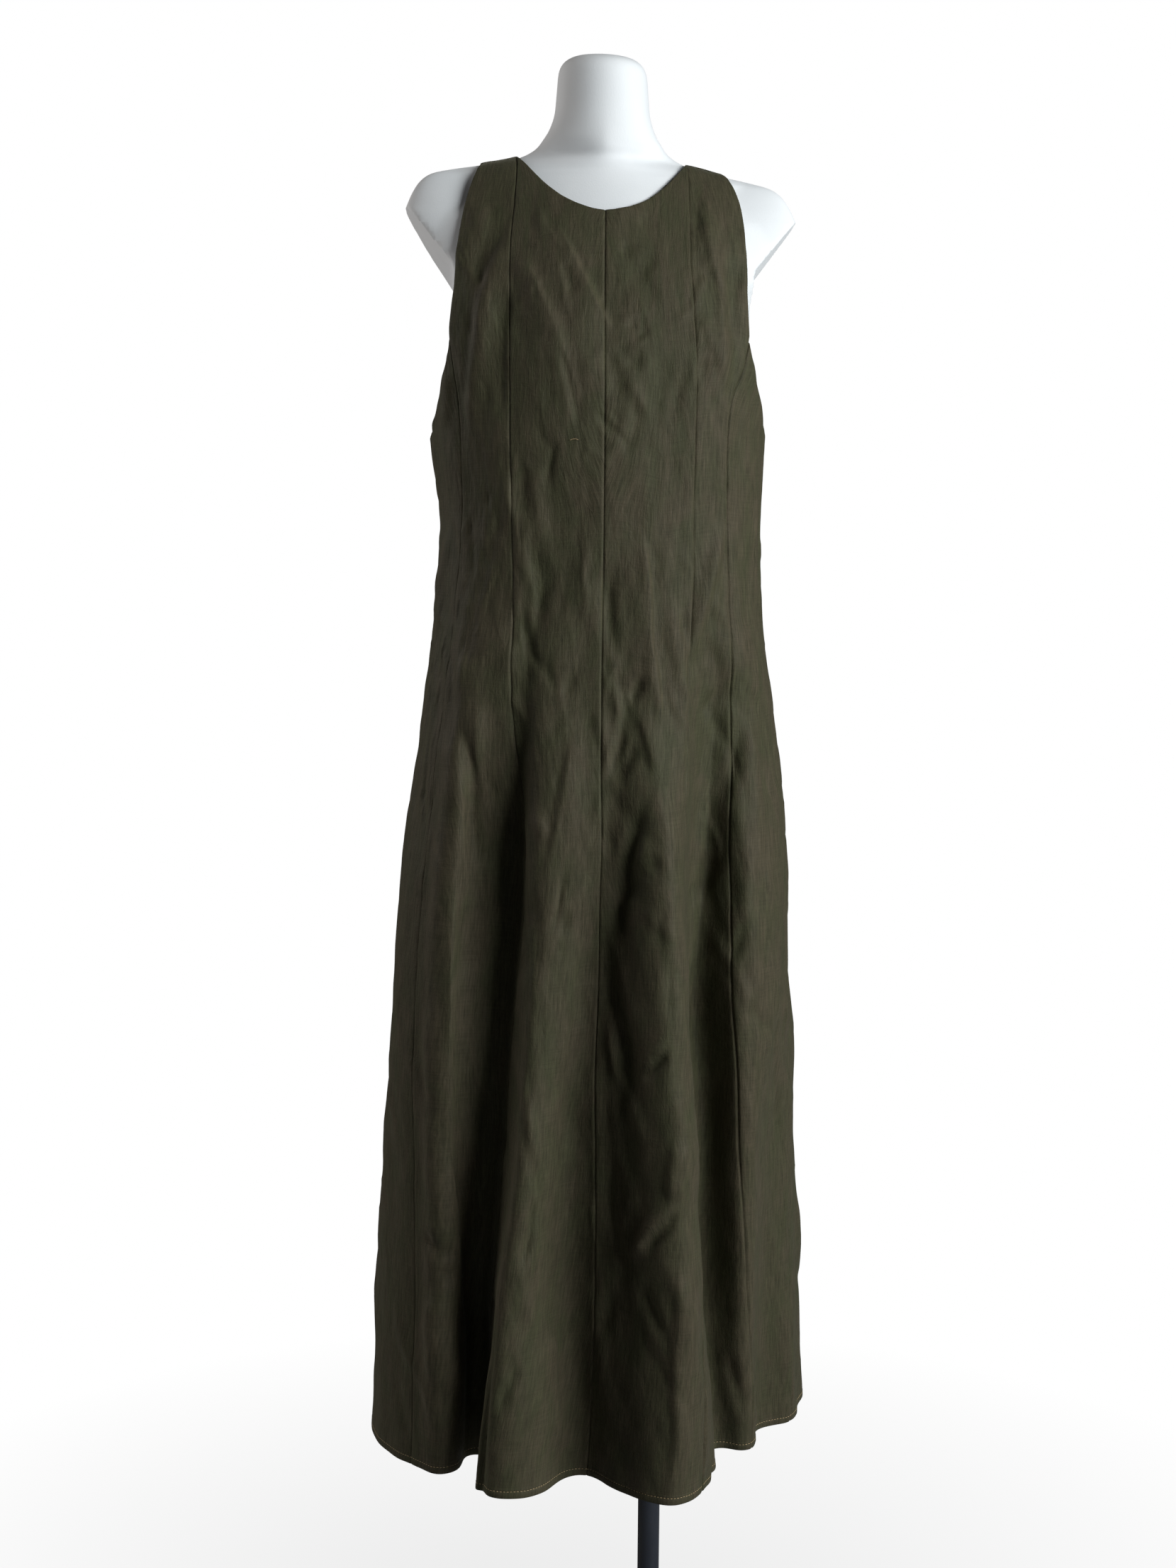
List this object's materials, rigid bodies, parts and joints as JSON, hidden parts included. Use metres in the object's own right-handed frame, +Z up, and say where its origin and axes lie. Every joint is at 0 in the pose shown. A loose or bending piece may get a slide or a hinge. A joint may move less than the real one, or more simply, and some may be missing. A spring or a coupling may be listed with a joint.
{
  "type": "panelled maxi dress on dress form",
  "caption": "Long sleeveless round-neck dress cut in flared panels, hanging in deep flutes on a limbless jersey-covered dress form with a round pole and a flat base.",
  "frame": {"origin": "on the flat underside of the base, straight below the middle of the dress form; the pole and the base's centre are 62 mm towards +X", "axes": "+Z up, the dress faces -Y, +X is to the right of someone who faces its front"},
  "size_m": [0.4631, 0.3979, 1.6576],
  "materials": {
    "olive_cloth": "woven slubby linen-like cloth, creased, with a low satin sheen",
    "white_jersey": "fine white jersey stretched over a firm form",
    "black_metal": "satin blue-black paint"
  },
  "bodies": {
    "root": {"front_centre_left": "olive_cloth", "front_centre_right": "olive_cloth", "front_middle_left": "olive_cloth", "front_middle_right": "olive_cloth", "front_side_left": "olive_cloth", "front_side_right": "olive_cloth", "back_centre_left": "olive_cloth", "back_centre_right": "olive_cloth", "back_middle_left": "olive_cloth", "back_middle_right": "olive_cloth", "back_side_left": "olive_cloth", "back_side_right": "olive_cloth", "form_torso": "white_jersey", "stand_pole": "black_metal", "stand_base": "black_metal"}
  },
  "joints": []
}
